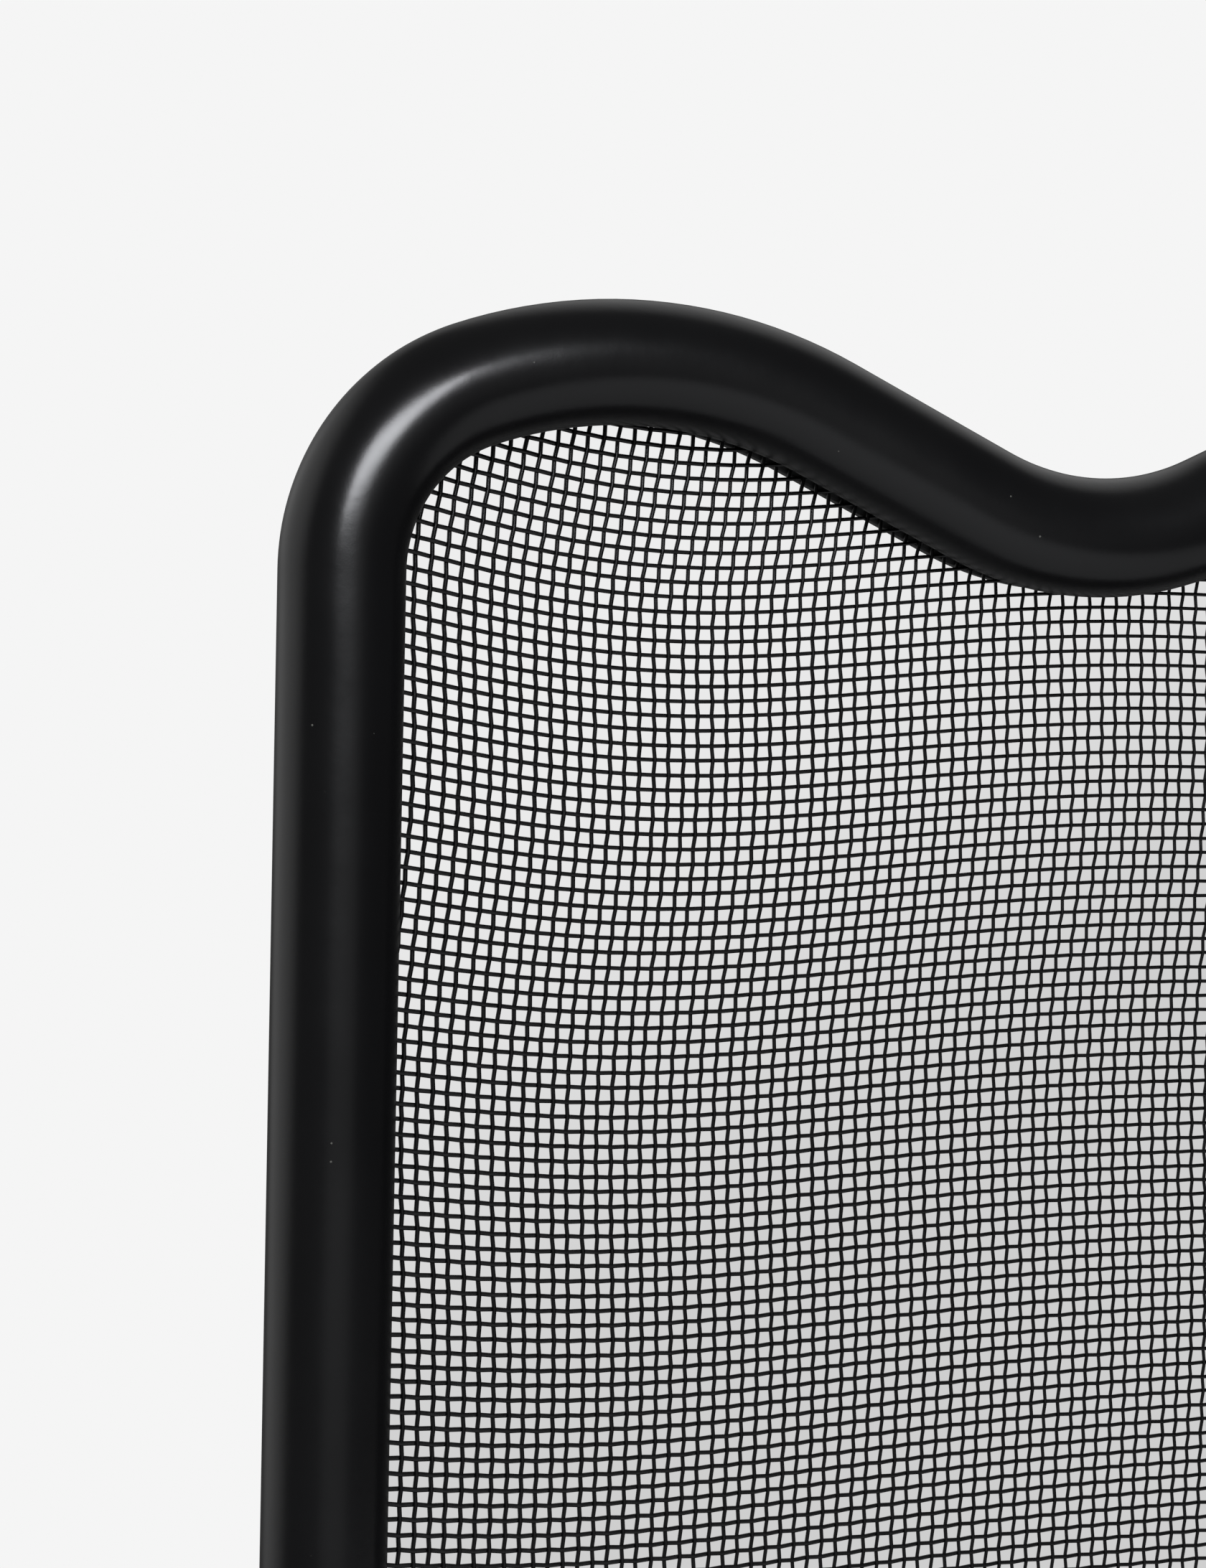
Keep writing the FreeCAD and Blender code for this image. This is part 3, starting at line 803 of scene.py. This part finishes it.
def woven_grid(cloth, corner_z):
    """X and Z of every crossing of an upright wire (first index) with a cross wire (second index)."""
    height, width = CLOTH_HIGH.z - CLOTH_LOW.z, CLOTH_HIGH.x - CLOTH_LOW.x
    side_margin = abs(math.tan(cloth.lean)) * height + 2 * cloth.pull + cloth.sway
    end_margin = math.tan(cloth.tilt) * width + 2 * cloth.droop
    across = np.arange(CLOTH_LOW.x - side_margin, CLOTH_HIGH.x + side_margin, cloth.pitch_across)
    up = np.arange(CLOTH_LOW.z - end_margin, CLOTH_HIGH.z + end_margin, cloth.pitch_up)
    spacing = np.random.RandomState(SPACING_SEED)
    across = across + spacing.normal(0.0, cloth.spacing_error, across.size)
    up = up + spacing.normal(0.0, cloth.spacing_error, up.size)
    x, z = np.meshgrid(across, up, indexing="ij")
    above = z - corner_z
    sideways, slope = sideways_pull(cloth, np.minimum(above, cloth.straight_above))
    sideways = sideways + slope * np.maximum(above - cloth.straight_above, 0)
    drawn = np.zeros_like(x)
    for from_upright in (x + UPRIGHT_X, UPRIGHT_X - x):
        wave = np.cos(2 * math.pi * from_upright / cloth.droop_wave + cloth.droop_phase)
        drawn += wave * np.exp(-np.clip(from_upright, 0, None) / cloth.droop_reach)
    upwards = math.tan(cloth.tilt) * x + cloth.droop * np.exp(above / cloth.droop_fade) * drawn
    return x + sideways, z + upwards


def inside_cloth(x, z):
    """Which crossings lie within the cloth's cut outline."""
    tree = BVHTree.FromObject(frame["nodes"]["wire_cloth"], bpy.context.evaluated_depsgraph_get())
    towards_back = Vector((0, 1, 0))
    front_y = CLOTH_LOW.y - 2 * WIRE_RADIUS
    starts = (Vector((px, front_y, pz)) for px, pz in zip(x.ravel(), z.ravel()))
    hits = [tree.ray_cast(start, towards_back)[0] is not None for start in starts]
    return np.array(hits).reshape(x.shape)


def whole_runs(inside):
    """Start and end of each stretch of a wire that lies inside the outline."""
    marks = np.flatnonzero(np.diff(np.concatenate(([0], inside.astype(int), [0]))))
    return [(first, last) for first, last in zip(marks[::2], marks[1::2]) if last - first > 1]


def wire_piece(name, wires, material):
    """One mesh of many wires. Each wire has a point and a thickness at each of its crossings."""
    curve = bpy.data.curves.new(name, "CURVE")
    curve.dimensions = "3D"
    curve.bevel_depth = WIRE_RADIUS * HEXAGON_GROWTH
    curve.bevel_resolution = 1
    curve.use_fill_caps = True
    for wire in wires:
        spline = curve.splines.new("POLY")
        spline.points.add(len(wire) - 1)
        spline.points.foreach_set("co", np.column_stack((wire[:, :3], np.ones(len(wire)))).ravel())
        spline.points.foreach_set("radius", np.ascontiguousarray(wire[:, 3]))
    holder = bpy.data.objects.new(name + "_line", curve)
    mesh = bpy.data.meshes.new_from_object(holder)
    bpy.data.objects.remove(holder)
    bpy.data.curves.remove(curve)
    mesh.name = name
    mesh.polygons.foreach_set("use_smooth", np.ones(len(mesh.polygons), bool))
    return add_piece(name, mesh, material, ["wire_cloth"])


def weave(name, x, z, inside, over, cloth, material):
    """The wires along the second index. over is 1 where a wire passes in front at a crossing, -1 behind."""
    from_upright = np.clip(UPRIGHT_X - np.abs(x), 0, None)
    thickness = 1 + cloth.enamel / WIRE_RADIUS * np.exp(-from_upright / cloth.enamel_reach)
    depth = CLOTH_MIDDLE_Y - over * WIRE_RADIUS * thickness
    wires = []
    for row in range(x.shape[0]):
        for first, last in whole_runs(inside[row]):
            wires.append(np.column_stack([values[row, first:last] for values in (x, depth, z, thickness)]))
    share = cloth.wires_per_piece
    for number, first in enumerate(range(0, len(wires), share), 1):
        wire_piece("{}_{}".format(name, number), wires[first : first + share], material)


# ---- operators ----
class SCREEN_OT_bend_frame(bpy.types.Operator):
    """Bend the wavy hoop and the base rail"""

    bl_idname = "screen.bend_frame"
    bl_label = "Bend frame tubes"

    def execute(self, context):
        bends = context.scene.screen_bends
        paths = {"top_hoop": hoop_path(bends, JOINT_Z), "base_rail": base_path(bends, JOINT_Z)}
        for name, path in paths.items():
            mesh = tube_mesh(name + "_tube", path, bends)
            add_piece(name + "_tube", mesh, finish_for("frame_powder_coat"), [name])
        return {"FINISHED"}


class SCREEN_OT_form_strips(bpy.types.Operator):
    """Form the retaining strips behind the cloth"""

    bl_idname = "screen.form_strips"
    bl_label = "Form retaining strips"

    def execute(self, context):
        bends = context.scene.screen_bends
        side_run = [("run", SIDE_STRIP_HIGH.z - SIDE_STRIP_LOW.z)]
        up, down = Vector((0, 0, 1)), Vector((0, 0, -1))
        paths = {
            "retainer_top": hoop_path(bends, STRIP_LOW.z),
            "retainer_bottom": base_path(bends, BASE_STRIP_HIGH.z),
            "retainer_left": (Vector((-UPRIGHT_X, 0, SIDE_STRIP_LOW.z)), up, side_run),
            "retainer_right": (Vector((UPRIGHT_X, 0, SIDE_STRIP_HIGH.z)), down, side_run),
        }
        for name, path in paths.items():
            mesh = strip_mesh(name + "_strip", path, bends)
            add_piece(name + "_strip", mesh, finish_for("strip_powder_coat"), [name])
        return {"FINISHED"}


class SCREEN_OT_weave_cloth(bpy.types.Operator):
    """Weave the wire cloth, wire by wire"""

    bl_idname = "screen.weave_cloth"
    bl_label = "Weave wire cloth"

    def execute(self, context):
        cloth = context.scene.screen_cloth
        x, z = woven_grid(cloth, TOP_AXIS_Z - corner_rise(context.scene.screen_bends))
        inside = inside_cloth(x, z)
        rows, columns = np.indices(x.shape)
        over = np.where((rows + columns) % 2, 1.0, -1.0)
        material = finish_for("wire_cloth_black")
        weave("upright_wires", x, z, inside, over, cloth, material)
        weave("cross_wires", x.T, z.T, inside.T, -over.T, cloth, material)
        return {"FINISHED"}


class SCREEN_OT_finish_fasteners(bpy.types.Operator):
    """Finish the retaining screws and the foot bolts"""

    bl_idname = "screen.finish_fasteners"
    bl_label = "Finish screws and bolts"

    def execute(self, context):
        finish_nodes("retainer_screws")
        finish_nodes("foot_bolt")
        return {"FINISHED"}


class SCREEN_OT_finish_feet(bpy.types.Operator):
    """Finish the feet with their saddles, caps and pads"""

    bl_idname = "screen.finish_feet"
    bl_label = "Finish feet"

    def execute(self, context):
        for prefix in ("foot_tube", "foot_saddle", "foot_cap", "foot_pad"):
            finish_nodes(prefix)
        return {"FINISHED"}


class SCREEN_OT_finish_inner_steel(bpy.types.Operator):
    """Finish the spigots and the threaded bosses inside the tubes"""

    bl_idname = "screen.finish_inner_steel"
    bl_label = "Finish inner steel"

    def execute(self, context):
        finish_nodes("spigot")
        finish_nodes("foot_boss")
        return {"FINISHED"}


def softbox(name, place, target, size, power):
    """A rectangular area lamp that faces a point."""
    lamp = bpy.data.lights.new(name, "AREA")
    lamp.shape = "RECTANGLE"
    lamp.size, lamp.size_y = size
    lamp.energy = power
    lamp.color = SOFTBOX_COLOUR
    holder = bpy.data.objects.new(name, lamp)
    holder.location = place
    holder.rotation_mode = "QUATERNION"
    holder.rotation_quaternion = (Vector(target) - Vector(place)).to_track_quat("-Z", "Y")
    bpy.context.scene.collection.objects.link(holder)


def direction_to(azimuth, elevation):
    """Unit vector of a direction in degrees, with azimuth 0 towards the room at -Y."""
    turn, rise = math.radians(azimuth), math.radians(elevation)
    return Vector((math.sin(turn) * math.cos(rise), -math.cos(turn) * math.cos(rise), math.sin(rise)))


def smooth_step(tree, value, low, high):
    """0 below low and 1 above high, smooth between them."""
    spread = {"Value": value, "From Min": low, "From Max": high}
    return add_node(tree, "ShaderNodeMapRange", spread, interpolation_type="SMOOTHSTEP").outputs["Result"]


def reflected_room(tree, direction, room):
    """Brightness of the room as the finish reflects it: an even level and soft, broad walls."""
    total = None
    for azimuth, elevation, inner, outer, gain in REFLECTED_WALLS.values():
        pair = {0: direction, 1: direction_to(azimuth, elevation)}
        towards = add_node(tree, "ShaderNodeVectorMath", pair, operation="DOT_PRODUCT").outputs["Value"]
        share = smooth_step(tree, towards, math.cos(math.radians(outer)), math.cos(math.radians(inner)))
        total = maths(tree, "MULTIPLY_ADD", share, gain, room if total is None else total)
    return maths(tree, "MAXIMUM", total, DARKEST_REFLECTION)


def backdrop(tree, direction, studio):
    """The backdrop to the eye: even and pale, but softly shaded where it is seen through the cloth."""
    bends = bpy.context.scene.screen_bends
    eye = Vector(studio.camera_place)
    axes = add_node(tree, "ShaderNodeSeparateXYZ", {"Vector": direction}).outputs
    ahead = maths(tree, "MAXIMUM", axes["Y"], LEAST_AHEAD)
    reach = -eye.y
    across = maths(tree, "DIVIDE", axes["X"], ahead)
    up = maths(tree, "DIVIDE", axes["Z"], ahead)
    upright = (-UPRIGHT_X - eye.x) / reach
    first_peak = upright + peak_offset(bends) / reach
    wave_length = 2 * half_wave(bends) / reach
    peak, valley = (TOP_AXIS_Z - eye.z) / reach, (TOP_AXIS_Z - wave_depth(bends) - eye.z) / reach
    phase = maths(tree, "MULTIPLY", maths(tree, "SUBTRACT", across, first_peak), 2 * math.pi / wave_length)
    swing, middle = (peak - valley) / 2, (peak + valley) / 2
    hoop = maths(tree, "MULTIPLY_ADD", maths(tree, "COSINE", phase), swing, middle)
    edge = SHADE_EDGE / reach
    below_hoop = smooth_step(tree, maths(tree, "SUBTRACT", hoop, up), -edge, edge)
    past_upright = smooth_step(tree, across, upright - edge, upright + edge)
    inwards = maths(tree, "SUBTRACT", across, upright)
    depth = maths(tree, "MULTIPLY_ADD", inwards, SHADE_SLANT, maths(tree, "MULTIPLY", up, -1.0))
    shade = add_node(
        tree, "ShaderNodeMapRange",
        {
            "Value": depth, "From Min": SHADE_STARTS, "From Max": SHADE_ENDS,
            "To Min": studio.shade_light, "To Max": studio.shade_dark,
        },
        interpolation_type="SMOOTHSTEP",
    ).outputs["Result"]
    share = maths(tree, "MULTIPLY", below_hoop, past_upright)
    share = maths(tree, "MULTIPLY", share, smooth_step(tree, axes["Y"], SHADE_FADES_OUT, SHADE_IS_WHOLE))
    change = maths(tree, "SUBTRACT", shade, studio.backdrop_grey)
    return maths(tree, "MULTIPLY_ADD", share, change, studio.backdrop_grey)


def studio_world(studio):
    """Pale surroundings for the eye, a room with white walls for reflections, an even light besides."""
    world = bpy.data.worlds.new("studio")
    bpy.context.scene.world = world
    world.use_nodes = True
    tree = world.node_tree
    tree.nodes.clear()
    direction = add_node(tree, "ShaderNodeTexCoord").outputs["Generated"]
    rays = add_node(tree, "ShaderNodeLightPath").outputs
    pale, room = backdrop(tree, direction, studio), reflected_room(tree, direction, studio.room)
    seen = add_node(tree, "ShaderNodeBackground", {"Color": pale, "Strength": 1.0})
    glossy = add_node(tree, "ShaderNodeBackground", {"Color": room, "Strength": 1.0})
    ambient = add_node(tree, "ShaderNodeBackground", {"Color": (1, 1, 1, 1), "Strength": studio.ambient})
    unseen = add_node(
        tree, "ShaderNodeMixShader", {0: rays["Is Glossy Ray"], 1: ambient.outputs[0], 2: glossy.outputs[0]}
    )
    sky = add_node(
        tree, "ShaderNodeMixShader", {0: rays["Is Camera Ray"], 1: unseen.outputs[0], 2: seen.outputs[0]}
    )
    out = add_node(tree, "ShaderNodeOutputWorld")
    tree.links.new(sky.outputs[0], out.inputs["Surface"])


def studio_floor(studio):
    """A pale round floor that fades into the surroundings and keeps the screen's shadow."""
    bm = bmesh.new()
    bmesh.ops.create_circle(bm, cap_ends=True, radius=studio.floor_radius, segments=FLOOR_SEGMENTS)
    mesh = bpy.data.meshes.new("floor")
    bm.to_mesh(mesh)
    bm.free()
    material, tree, shader, place = new_material("pale_floor", 0.9)
    shader.inputs["Specular IOR Level"].default_value = 0.0
    grey = studio.floor_grey
    shader.inputs["Base Color"].default_value = (grey, grey, grey, 1)
    rays = add_node(tree, "ShaderNodeLightPath").outputs
    clear = add_node(tree, "ShaderNodeBsdfTransparent")
    lift = 2 * studio.backdrop_grey - studio.floor_light
    glow = add_node(tree, "ShaderNodeEmission", {"Color": (1, 1, 1, 1), "Strength": lift})
    lifted = add_node(tree, "ShaderNodeMixShader", {0: 0.5, 1: shader.outputs[0], 2: glow.outputs[0]})
    shown = add_node(
        tree, "ShaderNodeMixShader", {0: rays["Is Camera Ray"], 1: shader.outputs[0], 2: lifted.outputs[0]}
    )
    distance = add_node(tree, "ShaderNodeVectorMath", {0: place}, operation="LENGTH").outputs["Value"]
    fade = smooth_step(tree, distance, FLOOR_FADE_STARTS * studio.floor_radius, studio.floor_radius)
    whole = add_node(tree, "ShaderNodeMixShader", {0: fade, 1: shown.outputs[0], 2: clear.outputs[0]})
    tree.links.new(whole.outputs[0], tree.nodes["Material Output"].inputs["Surface"])
    mesh.materials.append(material)
    floor = bpy.data.objects.new("floor", mesh)
    bpy.context.scene.collection.objects.link(floor)


def studio_camera(studio):
    """The camera, a little below the screen's top and turned to face its upper left corner."""
    yaw, pitch, roll = studio.camera_yaw, studio.camera_pitch, studio.camera_roll
    ahead = Vector((math.sin(yaw) * math.cos(pitch), math.cos(yaw) * math.cos(pitch), math.sin(pitch)))
    right = Vector((math.cos(yaw), -math.sin(yaw), 0))
    up = right.cross(ahead)
    turned_right = right * math.cos(roll) + up * math.sin(roll)
    turned_up = up * math.cos(roll) - right * math.sin(roll)
    lens = bpy.data.cameras.new("camera")
    lens.sensor_width = SENSOR_LONG_SIDE
    lens.lens = studio.lens
    lens.clip_start = 0.01
    lens.clip_end = 50.0
    camera = bpy.data.objects.new("camera", lens)
    axes = Matrix((turned_right, turned_up, -ahead)).transposed().to_4x4()
    camera.matrix_world = Matrix.Translation(Vector(studio.camera_place)) @ axes
    bpy.context.scene.collection.objects.link(camera)
    bpy.context.scene.camera = camera


class SCREEN_OT_studio(bpy.types.Operator):
    """Set up the floor, the surroundings, the lamp and the camera"""

    bl_idname = "screen.studio"
    bl_label = "Set up studio"

    def execute(self, context):
        studio = context.scene.screen_studio
        context.scene.view_settings.view_transform = "Standard"
        studio_world(studio)
        studio_floor(studio)
        target = Vector((-UPRIGHT_X, 0, TOP_AXIS_Z))
        place = target + SOFTBOX_DISTANCE * direction_to(SOFTBOX_AZIMUTH, SOFTBOX_ELEVATION)
        softbox("key_softbox", place, target, SOFTBOX_SIZE, studio.key_power)
        studio_camera(studio)
        return {"FINISHED"}


class SCREEN_PT_panel(bpy.types.Panel):
    """Sidebar panel with every step and setting"""

    bl_idname = "SCREEN_PT_panel"
    bl_label = "Fireplace Screen"
    bl_space_type = "VIEW_3D"
    bl_region_type = "UI"
    bl_category = "Screen"

    def draw(self, context):
        for operator in OPERATORS:
            self.layout.operator(operator.bl_idname)
        for attribute, settings in SETTINGS.items():
            box = self.layout.box()
            box.label(text=settings.__doc__)
            for name in settings.__annotations__:
                box.prop(getattr(context.scene, attribute), name)


SETTINGS = {
    "screen_bends": BendSettings,
    "screen_cloth": ClothSettings,
    "screen_finish": FinishSettings,
    "screen_studio": StudioSettings,
}
OPERATORS = (
    SCREEN_OT_bend_frame,
    SCREEN_OT_form_strips,
    SCREEN_OT_weave_cloth,
    SCREEN_OT_finish_fasteners,
    SCREEN_OT_finish_feet,
    SCREEN_OT_finish_inner_steel,
    SCREEN_OT_studio,
)
CLASSES = (*SETTINGS.values(), *OPERATORS, SCREEN_PT_panel)


def register():
    for item in CLASSES:
        bpy.utils.register_class(item)
    for attribute, settings in SETTINGS.items():
        setattr(bpy.types.Scene, attribute, bpy.props.PointerProperty(type=settings))


def unregister():
    for attribute in SETTINGS:
        delattr(bpy.types.Scene, attribute)
    for item in reversed(CLASSES):
        bpy.utils.unregister_class(item)


def main():
    register()
    for operator in OPERATORS:
        family, name = operator.bl_idname.split(".")
        getattr(getattr(bpy.ops, family), name)()


if __name__ == "__main__":
    main()
